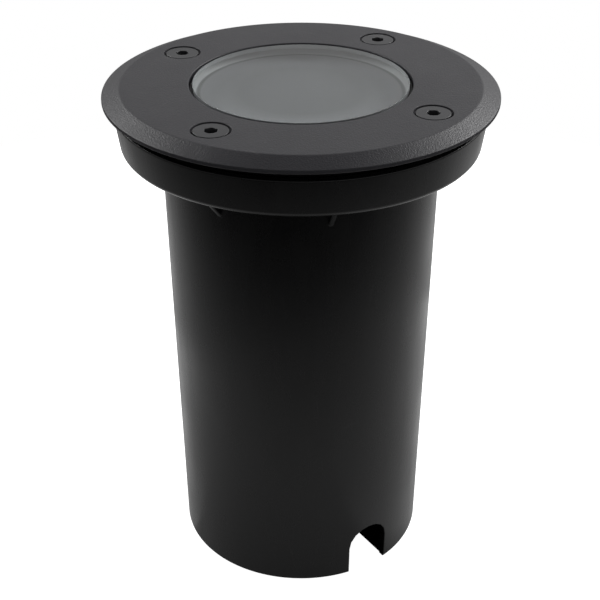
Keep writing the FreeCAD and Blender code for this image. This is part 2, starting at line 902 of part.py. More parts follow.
# Domed cap nut that squeezes the seal round the cable
def gland_nut():
    corner = gland_hex_flats / math.sqrt(3)
    dome_top = gland_nut_low + gland_nut_dome
    body = hexagon(gland_hex_flats, gland_nut_low, gland_nut_top)
    dome = turned([
        (0, gland_nut_low),
        ((corner + gland_nut_mouth_radius) / 2, gland_nut_low),
        (corner, dome_top),
        (corner, gland_nut_top),
        (0, gland_nut_top),
    ])
    hollow = turned([
        (0, gland_nut_low - cut_overrun),
        (gland_nut_mouth_radius, gland_nut_low - cut_overrun),
        (gland_nut_mouth_radius, dome_top),
        (gland_barrel_radius + gland_nut_thread_fit, dome_top),
        (gland_barrel_radius + gland_nut_thread_fit, gland_nut_top + cut_overrun),
        (0, gland_nut_top + cut_overrun),
    ])
    return body.common(dome).cut(hollow)


nodes = {
    "mounting_sleeve": [mounting_sleeve()],
    "lamp_housing": [lamp_housing()],
    "housing_gasket": [housing_gasket()],
    "glass": [glass()],
    "glass_seal": [glass_seal()],
    "trim_ring": [trim_ring()],
    "trim_screws": trim_screws(),
    "lamp_shell": [lamp_shell()],
    "lamp_board": [lamp_board()],
    "lamp_lens": [lamp_lens()],
    "lamp_pins": lamp_pins(),
    "lampholder_body": [lampholder_body()],
    "lampholder_back": [lampholder_back()],
    "lampholder_contacts": lampholder_contacts(),
    "holder_screws": holder_screws(),
    "holder_bracket": [holder_bracket()],
    "bracket_screws": bracket_screws(),
    "terminal_block": [terminal_block()],
    "terminal_clamps": terminal_clamps(),
    "terminal_screws": terminal_screws(),
    "block_screws": block_screws(),
    "live_lead": [lamp_lead(1)],
    "neutral_lead": [lamp_lead(-1)],
    "earth_lead": [earth_lead()],
    "earth_tag": [earth_tag()],
    "earth_screw": [earth_screw()],
    "gland_body": [gland_body()],
    "gland_seal": [gland_seal()],
    "gland_washer": [gland_washer()],
    "gland_locknut": [gland_locknut()],
    "gland_nut": [gland_nut()],
}

for name, solids in nodes.items():
    save(name, solids)
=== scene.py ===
import math

import bmesh
import bpy
from mathutils import Matrix, Vector


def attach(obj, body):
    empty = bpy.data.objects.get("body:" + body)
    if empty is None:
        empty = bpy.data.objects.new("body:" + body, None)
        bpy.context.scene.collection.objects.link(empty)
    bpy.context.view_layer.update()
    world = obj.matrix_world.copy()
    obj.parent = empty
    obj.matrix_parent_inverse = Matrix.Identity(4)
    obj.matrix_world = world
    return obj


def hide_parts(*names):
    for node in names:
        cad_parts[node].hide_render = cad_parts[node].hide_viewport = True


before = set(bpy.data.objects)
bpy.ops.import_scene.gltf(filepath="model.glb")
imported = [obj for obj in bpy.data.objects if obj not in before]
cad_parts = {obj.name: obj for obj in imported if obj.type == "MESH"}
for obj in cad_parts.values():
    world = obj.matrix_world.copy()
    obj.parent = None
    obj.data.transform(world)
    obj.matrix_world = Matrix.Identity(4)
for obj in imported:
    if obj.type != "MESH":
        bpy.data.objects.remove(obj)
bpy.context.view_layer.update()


# Camera: it looks down on the light from beside one of the sleeve's cable notches.
# It stands a forearm's length away, with the long lens of a product photograph.
mm = 0.001
camera_azimuth = -34.0
camera_elevation = 32.87
camera_distance = 397.4
camera_nearest = 10.0
aim_height = 60.0
camera_lens = 75.70
camera_shift = (-0.0018, 0.0906)
in_front, at_right, behind = 0.0, 90.0, 180.0


# Direction from the light's axis, by the turn from the camera's side and the rise over the ground
def seen_from(turn, rise=0.0):
    azimuth = math.radians(camera_azimuth + turn)
    level = math.cos(math.radians(rise))
    return Vector((math.sin(azimuth) * level, -math.cos(azimuth) * level, math.sin(math.radians(rise))))


# Stands a camera or lamp at a place and points it at the middle of the part
def stand(name, data, place):
    held = bpy.data.objects.new(name, data)
    held.location = aim + place
    held.rotation_euler = (-place).to_track_quat("-Z", "Y").to_euler()
    bpy.context.scene.collection.objects.link(held)
    return held


aim = Vector((0, 0, aim_height * mm))
lens = bpy.data.cameras.new("camera")
lens.lens = camera_lens
lens.shift_x, lens.shift_y = camera_shift
lens.clip_start = camera_nearest * mm
camera_place = seen_from(in_front, camera_elevation) * camera_distance * mm
bpy.context.scene.camera = stand("camera", lens, camera_place)
bpy.context.scene.view_settings.view_transform = "Standard"


# Lamps and room: two soft boxes stand behind the light, one at each side, and the right one is stronger.
# The room is pale behind the light and at its right, and darker in front, at its left and overhead.
# Where the camera sees it, it is white.
box_width, box_height, box_distance, box_rise = 400.0, 340.0, 900.0, 37.0
box_turn = 125.0
right_power, left_power = 4.6, 3.3
room_front, room_back = 0.25, 0.56
room_left, room_right = 0.85, 1.40
room_overhead = 0.12
room_below = 0.06
# The room's light changes while a direction's share backwards, rightwards or upwards goes through these
backward_span, rightward_span = (-0.6, 0.9), (-0.3, 0.6)
overhead_span, below_span = (0.45, 0.95), (-0.12, 0.02)
white, black = (1, 1, 1, 1), (0, 0, 0, 1)

for side, power in ((1, right_power), (-1, left_power)):
    box = bpy.data.lights.new("soft_box", "AREA")
    box.shape = "RECTANGLE"
    box.size, box.size_y = box_width * mm, box_height * mm
    box.energy = power
    stand("soft_box", box, seen_from(side * box_turn, box_rise) * box_distance * mm)


# Fills a node's sockets with values or with the outputs of other nodes
def fill(tree, node, sockets):
    for socket, value in sockets.items():
        if isinstance(value, bpy.types.NodeSocket):
            tree.links.new(value, node.inputs[socket])
        else:
            node.inputs[socket].default_value = value


# Adds a shader node with its sockets filled
def put(tree, kind, sockets=(), **options):
    made = tree.nodes.new("ShaderNode" + kind)
    for option, value in options.items():
        setattr(made, option, value)
    fill(tree, made, dict(sockets))
    return made


def worked(tree, operation, first, second=0.0):
    return put(tree, "Math", {0: first, 1: second}, operation=operation).outputs[0]


def times(tree, first, second):
    return worked(tree, "MULTIPLY", first, second)


# Mixes two values, from the first where the mask is none to the second where it is full
def mixed(tree, mask, first, second):
    return put(tree, "Mix", {0: mask, 2: first, 3: second}).outputs[0]


# Carries a value from one range over to another, and stops at its ends
def ranged(tree, value, from_low, from_high, to_low, to_high):
    return put(tree, "MapRange", {"Value": value, "From Min": from_low, "From Max": from_high,
                                  "To Min": to_low, "To Max": to_high}).outputs[0]


# Works one number out of one or two places or directions
def measured(tree, operation, first, second=(0, 0, 0)):
    return put(tree, "VectorMath", {0: first, 1: second}, operation=operation).outputs["Value"]


# Measures how far a place or a direction goes to one side, by the turn from the camera's side
def towards(tree, value, turn):
    return measured(tree, "DOT_PRODUCT", value, seen_from(turn))


# Tells the rays that look straight or through glass at the background from those that light the part
def seen_plainly(tree, path):
    scattered = worked(tree, "ADD", path["Diffuse Depth"], path["Glossy Depth"])
    through = times(tree, path["Is Transmission Ray"], worked(tree, "LESS_THAN", scattered, 1.0))
    return worked(tree, "MAXIMUM", path["Is Camera Ray"], through)


room = bpy.data.worlds.new("room")
room.use_nodes = True
tree = room.node_tree
tree.nodes.clear()
direction = put(tree, "TexCoord").outputs["Generated"]
rise = put(tree, "SeparateXYZ", {0: direction}).outputs["Z"]
level = ranged(tree, towards(tree, direction, behind), *backward_span, room_front, room_back)
sideways = ranged(tree, towards(tree, direction, at_right), *rightward_span, room_left, room_right)
level = times(tree, level, sideways)
level = times(tree, level, ranged(tree, rise, *overhead_span, 1.0, room_overhead))
level = times(tree, level, ranged(tree, rise, *below_span, room_below, 1.0))
path = put(tree, "LightPath").outputs
strength = mixed(tree, seen_plainly(tree, path), level, 1.0)
wall = put(tree, "Background", {"Color": white, "Strength": strength}).outputs[0]
put(tree, "OutputWorld", {"Surface": wall})
bpy.context.scene.world = room


# Floor: a pale round table top, a little below the sleeve's foot, that keeps the part's soft shadow.
# Its own glow makes it white where it is seen. What the gloss of the part mirrors of it is painted light:
# a glow that fades towards the front, is faint close in front of the foot and dark under it as painted
# shade, and shows the edge of a painted pool of light.
floor_radius = 340.0
floor_sides = 96
floor_drop = 0.1
floor_albedo = 0.8
glow_centre, glow_turn = 160.0, 10.0
glow_near, glow_far = 150.0, 405.0
glow_full, glow_least = 0.61, 0.005
foot_near, foot_far, foot_shade = 34.0, 105.0, 0.40
right_near, right_far, right_light = 15.0, 40.0, 0.86
back_near, back_far, back_end = -18.0, -12.0, 32.0
back_light, back_full = 0.72, 1.06
under_near, under_far = 36.5, 38.0
# A painted pool of light in the mirrored glow, with a painted shade just past its edge
painted_pool_radius, painted_pool_forward, painted_pool_right = 165.0, 20.0, 20.0
painted_pool_margin, painted_pool_light, painted_pool_shade = 45.0, 1.40, 0.78


# Moves a worked mesh by so many millimetres
def shifted(solid, x, y, z):
    bmesh.ops.translate(solid, vec=(x * mm, y * mm, z * mm), verts=solid.verts)
    return solid


# Makes a worked mesh into an object of the scene
def shown(solid, name):
    held = bpy.data.objects.new(name, bpy.data.meshes.new(name))
    solid.to_mesh(held.data)
    solid.free()
    bpy.context.scene.collection.objects.link(held)
    return held


# Gives the place on a piece, in the frame in which all pieces are drawn
def own_place(tree):
    return put(tree, "TexCoord").outputs["Object"]


# Changes from one value to another between two distances in millimetres
def graded(tree, distance, near, far, first, second):
    return ranged(tree, distance, near * mm, far * mm, first, second)


top = bmesh.new()
bmesh.ops.create_circle(top, cap_ends=True, segments=floor_sides, radius=floor_radius * mm)
floor = shown(shifted(top, 0, 0, -floor_drop), "floor")

paper = bpy.data.materials.new("pale_paper")
paper.use_nodes = True
tree = paper.node_tree
tree.nodes.clear()
path = put(tree, "LightPath").outputs
place = own_place(tree)
from_axis = measured(tree, "LENGTH", place)
glow_middle = seen_from(behind - glow_turn) * glow_centre * mm
away = measured(tree, "DISTANCE", place, glow_middle)
fading = graded(tree, away, glow_near, glow_far, glow_full, glow_least)
# The foot's shade lies in front, and lifts to the right and towards the back
front = graded(tree, from_axis, foot_near, foot_far, foot_shade, 1.0)
right = graded(tree, towards(tree, place, at_right), right_near, right_far, 0.0, right_light)
backward = towards(tree, place, behind)
back = times(tree, graded(tree, backward, back_near, back_far, 0.0, 1.0),
             graded(tree, backward, back_far, back_end, back_light, back_full))
fading = times(tree, fading, worked(tree, "MAXIMUM", front, worked(tree, "MAXIMUM", right, back)))
# Painted shade: the mirrored glow is dark under the part
fading = times(tree, fading, graded(tree, from_axis, under_near, under_far, 0.0, 1.0))
# The painted pool of light is brightest along its edge, and a painted shade darkens the table just past it
painted_pool_middle = (seen_from(in_front) * painted_pool_forward + seen_from(at_right) * painted_pool_right) * mm
out = measured(tree, "DISTANCE", place, painted_pool_middle)
on_painted_pool = graded(tree, out, painted_pool_radius - painted_pool_margin, painted_pool_radius, 1.0, painted_pool_light)
off_painted_pool = graded(tree, out, painted_pool_radius, painted_pool_radius + painted_pool_margin, painted_pool_shade, 1.0)
within = worked(tree, "LESS_THAN", out, painted_pool_radius * mm)
fading = times(tree, fading, mixed(tree, within, off_painted_pool, on_painted_pool))
glow = worked(tree, "MAXIMUM", seen_plainly(tree, path), times(tree, path["Is Glossy Ray"], fading))
lift = put(tree, "Emission", {"Color": white, "Strength": glow}).outputs[0]
matt = put(tree, "BsdfDiffuse", {"Color": (floor_albedo, floor_albedo, floor_albedo, 1)}).outputs[0]
unlit = put(tree, "BsdfDiffuse", {"Color": black}).outputs[0]
matt = put(tree, "MixShader", {0: path["Is Glossy Ray"], 1: matt, 2: unlit}).outputs[0]
put(tree, "OutputMaterial", {"Surface": put(tree, "AddShader", {0: matt, 1: lift}).outputs[0]})
floor.data.materials.append(paper)


# Mounting sleeve: a deep cup of black polypropylene that is set in the ground and keeps the hole open.
# It is moulded in one piece, tube, base, collar cup and gussets, with the mould's fine satin skin,
# and an arched cable channel crosses its foot.
tube_foot_radius, tube_radius, tube_wall, tube_bore_radius = 38.0, 39.5, 2.5, 37.0
outer_rings, inner_ring, ring_clearance = (50.0, 85.0), 70.0, 2.0
base_thickness = 2.0
foot_round = 0.8
collar_low, collar_seat, collar_top = 133.1, 136.5, 144.0
collar_low_radius, collar_radius, collar_wall = 50.7, 52.2, 2.2
collar_round, lip_round, crease_round = 1.5, 0.5, 0.4
gusset_count, gusset_width, gusset_reach, gusset_drop, gusset_round = 8, 1.5, 46.6, 8.2, 0.45
gusset_slope_least = 5.0
notch_width, notch_height, notch_round = 13.6, 16.5, 0.3
drain_radius, drain_circle, drain_angle, drain_count = 3.0, 24.0, 35.0, 2
corner_steps, edge_steps = 4, 3
overrun = 1.0
touching = 0.001


# Flat outline in the plane of radius and height, from corners given with the rounding of each
def outline(corners):
    drawn = bmesh.new()
    points = [drawn.verts.new((radius * mm, 0, height * mm)) for radius, height, rounding in corners]
    drawn.faces.new(points)
    for point, (radius, height, rounding) in zip(points, corners):
        if rounding:
            bmesh.ops.bevel(drawn, geom=[point], offset=rounding * mm, offset_type="OFFSET",
                            segments=corner_steps, profile=0.5, affect="VERTICES", material=-1)
    return drawn


# Merges what lies together and turns all faces outwards
def tidied(solid):
    bmesh.ops.remove_doubles(solid, verts=solid.verts[:], dist=touching * mm)
    bmesh.ops.recalc_face_normals(solid, faces=solid.faces[:])
    return solid


# Solid turned once from its half section
def turned(corners, steps=180):
    solid = outline(corners)
    bmesh.ops.delete(solid, geom=solid.faces[:], context="FACES_ONLY")
    axis = [edge for edge in solid.edges if max(abs(end.co.x) for end in edge.verts) < touching * mm]
    bmesh.ops.delete(solid, geom=axis, context="EDGES")
    bmesh.ops.spin(solid, geom=solid.verts[:] + solid.edges[:], cent=(0, 0, 0), axis=(0, 0, 1),
                   angle=2 * math.pi, steps=steps, use_merge=True)
    return tidied(solid)


# Copies of a solid at even turns round the light's axis
def repeated(solid, count, start=0.0):
    turn = Matrix.Rotation(math.radians(start), 3, "Z")
    bmesh.ops.rotate(solid, cent=(0, 0, 0), matrix=turn, verts=solid.verts)
    first = solid.verts[:] + solid.edges[:] + solid.faces[:]
    bmesh.ops.spin(solid, geom=first, cent=(0, 0, 0), axis=(0, 0, 1), use_duplicate=True,
                   angle=2 * math.pi * (count - 1) / count, steps=count - 1)
    return solid


# Joins two solids, or cuts the second out of the first
def combined(solid, tool, operation):
    pair = [shown(source, "work") for source in (solid, tool)]
    step = pair[0].modifiers.new("step", "BOOLEAN")
    step.object, step.operation, step.solver = pair[1], operation, "EXACT"
    result = bmesh.new()
    result.from_object(pair[0], bpy.context.evaluated_depsgraph_get())
    for held in pair:
        spent = held.data
        bpy.data.objects.remove(held)
        bpy.data.meshes.remove(spent)
    return result


# Picks the corners or the edges out of what an operator gives back
def picked(items, kind):
    return [item for item in items if isinstance(item, kind)]


# Makes a worked mesh into a piece with the given finishes and smooth shading, hangs it from a body's empty,
# and hides the CAD nodes that it replaces
def fitted(solid, name, body, surfaces, replaced, sharp=32.0):
    piece = shown(solid, name)
    for surface in surfaces:
        piece.data.materials.append(surface)
    piece.data.shade_smooth()
    piece.data.set_sharp_from_angle(angle=math.radians(sharp))
    piece.modifiers.new("even_shading", "WEIGHTED_NORMAL").keep_sharp = True
    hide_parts(*replaced)
    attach(piece, body)


def tube_radius_at(height):
    return tube_foot_radius + (tube_radius - tube_foot_radius) * height / collar_low


# A few rings of points keep the tube's long faces out of the way of the notches and the gussets
gusset_foot = collar_low - gusset_drop
lowest_ring, highest_ring = notch_height + ring_clearance, gusset_foot - ring_clearance
collar_slope = (collar_radius - collar_low_radius) / (collar_top - collar_low)
collar_inner_foot = collar_low_radius + collar_slope * (collar_seat - collar_low) - collar_wall
shell = turned([
    (0, 0, 0),
    (tube_foot_radius, 0, foot_round),
    *((tube_radius_at(height), height, 0) for height in (lowest_ring, *outer_rings, highest_ring)),
    (tube_radius, collar_low, crease_round),
    (collar_low_radius, collar_low, collar_round),
    (collar_radius, collar_top, lip_round),
    (collar_radius - collar_wall, collar_top, lip_round),
    (collar_inner_foot, collar_seat, crease_round),
    (tube_bore_radius, collar_seat, lip_round),
    *((tube_radius_at(height) - tube_wall, height, 0)
      for height in (highest_ring, inner_ring, lowest_ring)),
    (tube_radius_at(base_thickness) - tube_wall, base_thickness, crease_round),
    (0, base_thickness, 0),
])

# The gussets are rounded along the slope and melt into the tube and the collar
gussets = outline([
    (tube_radius_at(gusset_foot) - tube_wall / 2, gusset_foot, 0),
    (tube_radius_at(gusset_foot), gusset_foot, 0),
    (gusset_reach, collar_low, 0),
    (gusset_reach, collar_low + tube_wall / 2, 0),
    (tube_radius - tube_wall / 2, collar_low + tube_wall / 2, 0),
])
grown = bmesh.ops.extrude_face_region(gussets, geom=gussets.faces[:])["geom"]
bmesh.ops.translate(gussets, vec=(0, gusset_width * mm, 0), verts=picked(grown, bmesh.types.BMVert))
shifted(gussets, 0, -gusset_width / 2, 0)
slopes = [edge for edge in gussets.edges if abs(edge.verts[0].co.y - edge.verts[1].co.y) < touching * mm
          and abs(edge.verts[0].co.z - edge.verts[1].co.z) > gusset_slope_least * mm
          and max(end.co.x for end in edge.verts) > (gusset_reach - touching) * mm]
bmesh.ops.bevel(gussets, geom=slopes, offset=gusset_round * mm, offset_type="OFFSET", segments=edge_steps,
                profile=0.5, affect="EDGES", material=-1)
shell = combined(shell, repeated(tidied(gussets), gusset_count, 180 / gusset_count), "UNION")

# One arched cutter makes the channel from notch to notch. It flares at both faces of the tube's wall
# and follows their curve: it is drawn as a straight stack of layers, which then take their places.
# Each step of the flare is a distance out of the wall and a widening, both as shares of the rounding.
notch_half = notch_width / 2
notch_spring = notch_height - notch_half
flare_steps = ((3.0, 1.0), (0.0, 1.0), (-0.13, 0.5), (-0.5, 0.13), (-1.0, 0.0))
channel_layers = [(-1, 0.0, out, flare) for out, flare in flare_steps]
channel_layers += [(-1, tube_wall, -out, flare) for out, flare in reversed(flare_steps)]
channel_layers += [(1, tube_wall, -out, flare) for out, flare in flare_steps]
channel_layers += [(1, 0.0, out, flare) for out, flare in reversed(flare_steps)]

channel = tidied(outline([
    (-notch_half, -overrun, 0),
    (notch_half, -overrun, 0),
    (notch_half, notch_height, notch_half),
    (-notch_half, notch_height, notch_half),
]))
layer = channel.edges[:]
for step in channel_layers[1:]:
    grown = bmesh.ops.extrude_edge_only(channel, edges=layer)["geom"]
    layer = picked(grown, bmesh.types.BMEdge)
    bmesh.ops.translate(channel, vec=(0, mm, 0), verts=picked(grown, bmesh.types.BMVert))
bmesh.ops.holes_fill(channel, edges=channel.edges[:])
for corner in channel.verts:
    side, inset, out, flare = channel_layers[round(corner.co.y / mm)]
    scale = 1 + flare * notch_round / notch_half
    x = corner.co.x / mm * scale
    z = notch_spring + (corner.co.z / mm - notch_spring) * scale
    radius = tube_radius_at(z) - inset
    corner.co = Vector((x, side * (math.sqrt(radius ** 2 - x ** 2) + out * notch_round), z)) * mm
shell = combined(shell, tidied(channel), "DIFFERENCE")

for start in (drain_angle, -drain_angle):
    drains = turned([
        (0, -overrun, 0),
        (drain_radius, -overrun, 0),
        (drain_radius, base_thickness + overrun, 0),
        (0, base_thickness + overrun, 0),
    ], steps=40)
    shell = combined(shell, repeated(shifted(drains, drain_circle, 0, 0), drain_count, start), "DIFFERENCE")


# Starts a group of shader nodes with named inputs, each with its first value, and named outputs
def effect(name, inputs, outputs):
    group = bpy.data.node_groups.new(name, "ShaderNodeTree")
    for label, value in inputs.items():
        socket = group.interface.new_socket(label, in_out="INPUT", socket_type="NodeSocketFloat")
        socket.default_value = value
    for label, kind in outputs.items():
        group.interface.new_socket(label, in_out="OUTPUT", socket_type="NodeSocket" + kind)
    return group, group.nodes.new("NodeGroupInput").outputs, group.nodes.new("NodeGroupOutput")


# Places an effect in a material, with sizes of its own in millimetres
def used(tree, group, **sizes):
    sockets = {label.replace("_", " "): size for label, size in sizes.items()}
    return put(tree, "Group", sockets, node_tree=group).outputs


# Turns a value into a mask, from none at its first end to full at its second
def masked(tree, value, none, full):
    return ranged(tree, value, none, full, 0.0, 1.0)


# Gives the scale of a texture whose features are so many millimetres wide
def per_size(tree, size):
    return worked(tree, "DIVIDE", 1 / mm, size)


def noise(tree, size, detail=2.0, roughness=0.5, place=None):
    return put(tree, "TexNoise", {"Vector": place or own_place(tree), "Scale": per_size(tree, size),
                                  "Detail": detail, "Roughness": roughness}).outputs["Fac"]


def cells(tree, size, place=None, feature="F1"):
    return put(tree, "TexVoronoi", {"Vector": place or own_place(tree), "Scale": per_size(tree, size)},
               feature=feature).outputs


# Gives the place drawn out along the axes whose scale is under 1
def stretched(tree, scale, turn=(0, 0, 0)):
    return put(tree, "Mapping", {"Vector": own_place(tree), "Scale": scale, "Rotation": turn}).outputs[0]


# Moulded skin: the mould's fine texture as a height, with a slow unevenness under it, and long faint
# flow streaks as a shade. Most of a noise lies within noise_span.
swell_ratio, swell_share, streak_scale = 12.0, 2.0, (1, 1, 0.12)
noise_span = (0.35, 0.65)
moulded_skin, given, result = effect("moulded_skin", {"Grain Size": 0.4, "Streak Size": 5.0},
                                     {"Height": "Float", "Streak": "Float"})
tree = moulded_skin
fine = noise(tree, given["Grain Size"], detail=3.0, roughness=0.6)
broad = noise(tree, times(tree, given["Grain Size"], swell_ratio), detail=1.0)
streak = noise(tree, given["Streak Size"], place=stretched(tree, streak_scale))
fill(tree, result, {"Height": worked(tree, "ADD", fine, times(tree, broad, swell_share)),
                    "Streak": masked(tree, streak, *noise_span)})

# Worn edges: a normal that rounds the sharp edges, and a broken mask along them. The edge mask goes by
# how well the rounded normal keeps to the true one.
edge_span, break_span = (0.99, 0.85), (0.42, 0.62)
worn_edges, given, result = effect("worn_edges", {"Width": 0.2, "Break Size": 1.0},
                                   {"Mask": "Float", "Soft Normal": "Vector"})
tree = worn_edges
soft = put(tree, "Bevel", {"Radius": times(tree, given["Width"], mm)}, samples=4).outputs[0]
agreement = measured(tree, "DOT_PRODUCT", soft, put(tree, "NewGeometry").outputs["Normal"])
broken = noise(tree, given["Break Size"], detail=4.0, roughness=0.7)
worn = times(tree, masked(tree, agreement, *edge_span), masked(tree, broken, *break_span))
fill(tree, result, {"Mask": worn, "Soft Normal": soft})

# Handling marks: soft smudges that dull or polish the gloss, and sparse hair-thin scratches, which are
# parts of the borders in two nets of drawn-out cells. Each net has its turn and its stretch.
smudge_span, scratched_span = (0.35, 0.7), (0.56, 0.66)
scratch_nets = (((0.3, 0.2, 0.5), (1, 0.10, 0.10)), ((1.1, 0.7, 2.2), (0.09, 1, 0.09)))
scratch_cell, scratch_width = 0.35, 0.012
handling_marks, given, result = effect("handling_marks", {"Smudge Size": 14.0, "Scratch Size": 9.0},
                                       {"Smudge": "Float", "Scratch": "Float"})
tree = handling_marks
smudge = noise(tree, given["Smudge Size"], detail=5.0, roughness=0.55)
cell = times(tree, given["Scratch Size"], scratch_cell)
scratches = 0.0
for turn, scale in scratch_nets:
    border = cells(tree, cell, stretched(tree, scale, turn), "DISTANCE_TO_EDGE")["Distance"]
    scratches = worked(tree, "MAXIMUM", scratches, masked(tree, border, scratch_width, 0.0))
scratched = masked(tree, noise(tree, given["Scratch Size"]), *scratched_span)
fill(tree, result, {"Smudge": masked(tree, smudge, *smudge_span),
                    "Scratch": times(tree, scratches, scratched)})


# Starts a material with one Principled shader and its plain values
def surface(name, colour, **plain):
    made = bpy.data.materials.new(name)
    made.use_nodes = True
    shader = made.node_tree.nodes["Principled BSDF"]
    shader.inputs["Base Color"].default_value = (*colour, 1)
    for socket, value in plain.items():
        shader.inputs[socket.replace("_", " ")].default_value = value
    return made, made.node_tree, shader


# Blends from one colour to another by a mask, for a shader's base colour
def coloured(tree, shader, mask, start, end):
    first = start if isinstance(start, bpy.types.NodeSocket) else (*start, 1)
    mixed_colour = put(tree, "Mix", {0: mask, 6: first, 7: (*end, 1)}, data_type="RGBA").outputs[2]
    fill(tree, shader, {"Base Color": mixed_colour})
    return mixed_colour


# Gives a shader its relief: a height, so many millimetres deep, over a rounded normal where there is one
def relief(tree, shader, height, depth, normal=None):
    bump = put(tree, "Bump", {"Height": height, "Distance": depth * mm})
    if normal is not None:
        fill(tree, bump, {"Normal": normal})
    fill(tree, shader, {"Normal": bump.outputs[0]})


# Varies from one value to another by a mask
def varied(tree, mask, first, second):
    return ranged(tree, mask, 0.0, 1.0, first, second)


# Joins two masks, each at its own strength
def joined(tree, first, first_share, second, second_share):
    return worked(tree, "MAXIMUM", times(tree, first, first_share), times(tree, second, second_share))


# Satin moulded plastic: streaks and smudges vary the gloss, and rubbed edges are slightly paler
plastic_edge, plastic_scratch = 0.4, 0.35
streak_gloss, streak_dull, smudge_dull = 0.02, 0.03, 0.05


def moulded(name, colour, pale, roughness, grain, depth, streak_size=5.0, edge_width=0.25, **plain):
    made, tree, shader = surface(name, colour, **plain)
    skin = used(tree, moulded_skin, Grain_Size=grain, Streak_Size=streak_size)
    marks = used(tree, handling_marks)
    edges = used(tree, worn_edges, Width=edge_width)
    worn = joined(tree, edges["Mask"], plastic_edge, marks["Scratch"], plastic_scratch)
    coloured(tree, shader, worn, colour, pale)
    gloss = varied(tree, skin["Streak"], roughness - streak_gloss, roughness + streak_dull)
    gloss = worked(tree, "ADD", gloss, times(tree, marks["Smudge"], smudge_dull))
    fill(tree, shader, {"Roughness": gloss})
    relief(tree, shader, skin["Height"], depth, edges["Soft Normal"])
    return made


sleeve_plastic = moulded("sleeve_plastic", (0.0034, 0.0034, 0.0036), (0.020, 0.020, 0.021),
                         roughness=0.24, grain=0.35, depth=0.003)
fitted(shell, "sleeve_moulding", "sleeve", [sleeve_plastic], ["mounting_sleeve"])


# Lamp housing: a die-cast aluminium cup, powder coated black inside and out, that hangs by its flange
# in the sleeve's collar. Four ribs centre it, and bosses in its floor carry what is inside.
speck_span, speck_rarity = (0.26, 0.16), (0.86, 0.90)
powder_grain, given, result = effect("powder_grain", {"Grain Size": 0.35, "Speck Size": 0.5},
                                     {"Height": "Float", "Speck": "Float"})
tree = powder_grain
bumps = cells(tree, given["Grain Size"], feature="SMOOTH_F1")["Distance"]
fine = noise(tree, given["Grain Size"], detail=3.0, roughness=0.6)
specks = cells(tree, given["Speck Size"])
chosen = put(tree, "SeparateColor", {0: specks["Color"]}).outputs[0]
speck = times(tree, masked(tree, specks["Distance"], *speck_span), masked(tree, chosen, *speck_rarity))
fill(tree, result, {"Height": worked(tree, "ADD", bumps, fine), "Speck": speck})


# Powder coat: a pebbled paint film with pale flecks, worn through to a lighter tone along its edges
fleck_share, coat_edge, coat_scratch = 0.5, 0.5, 0.25
coat_gloss, coat_dull, fleck_gloss = 0.02, 0.04, 0.1


def powder_coated(name, colour, fleck, worn_colour, roughness, grain, depth, edge_width=0.35, **plain):
    made, tree, shader = surface(name, colour, **plain)
    coat = used(tree, powder_grain, Grain_Size=grain)
    marks = used(tree, handling_marks, Smudge_Size=20.0)
    edges = used(tree, worn_edges, Width=edge_width)
    flecked = coloured(tree, shader, times(tree, coat["Speck"], fleck_share), colour, fleck)
    worn = joined(tree, edges["Mask"], coat_edge, marks["Scratch"], coat_scratch)
    coloured(tree, shader, worn, flecked, worn_colour)
    gloss = varied(tree, marks["Smudge"], roughness - coat_gloss, roughness + coat_dull)
    gloss = worked(tree, "SUBTRACT", gloss, times(tree, coat["Speck"], fleck_gloss))
    fill(tree, shader, {"Roughness": gloss})
    relief(tree, shader, coat["Height"], depth, edges["Soft Normal"])
    return made


# Puts a surface on CAD nodes whose own shape is kept
def dressed(surface_kind, *names):
    for name in names:
        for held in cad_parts[name].material_slots:
            held.material = surface_kind


cast_body = powder_coated("cast_body", (0.012, 0.012, 0.013), (0.05, 0.05, 0.05), (0.16, 0.16, 0.165),
                          roughness=0.46, grain=0.5, depth=0.02)
dressed(cast_body, "lamp_housing")


# Cable gland: black nylon body, locknut and cap nut round a rubber seal, with a washer under the floor.
# The body is screwed up through the floor and held by the locknut, and the nut squeezes the seal.
gland_nylon = moulded("gland_nylon", (0.014, 0.014, 0.015), (0.06, 0.06, 0.062),
                      roughness=0.38, grain=0.25, depth=0.004)
dressed(gland_nylon, "gland_body", "gland_locknut", "gland_nut")

# Rubber and silicone: dull and dark, with fine pale bloom
bloom_span, bloom_share, rubber_edge = (1.5, 2.1), 0.35, 0.4
rubber_gloss, rubber_dull, rubber_depth = 0.04, 0.06, 0.006


def rubbery(name, colour, bloom, roughness):
    made, tree, shader = surface(name, colour, Sheen_Weight=0.15, Sheen_Roughness=0.5)
    skin = used(tree, moulded_skin, Grain_Size=0.3, Streak_Size=3.0)
    edges = used(tree, worn_edges, Width=0.3, Break_Size=0.6)
    powdery = masked(tree, skin["Height"], *bloom_span)
    coloured(tree, shader, joined(tree, powdery, bloom_share, edges["Mask"], rubber_edge), colour, bloom)
    gloss = varied(tree, skin["Streak"], roughness - rubber_gloss, roughness + rubber_dull)
    fill(tree, shader, {"Roughness": gloss})
    relief(tree, shader, skin["Height"], rubber_depth, edges["Soft Normal"])
    return made


silicone = rubbery("silicone", (0.012, 0.012, 0.012), (0.045, 0.045, 0.044), roughness=0.58)
dressed(silicone, "gland_seal", "gland_washer")


# Terminal block: three brass clamps in a block of pale translucent nylon, each with two steel screws.
# Two longer screws hold the block to its pad on the housing's floor.
connector_plastic = moulded("connector_plastic", (0.62, 0.60, 0.54), (0.75, 0.74, 0.70),
                            roughness=0.36, grain=0.5, depth=0.004, Subsurface_Weight=0.25,
                            Subsurface_Radius=(0.003, 0.003, 0.002), Subsurface_Scale=0.5)
dressed(connector_plastic, "terminal_block")

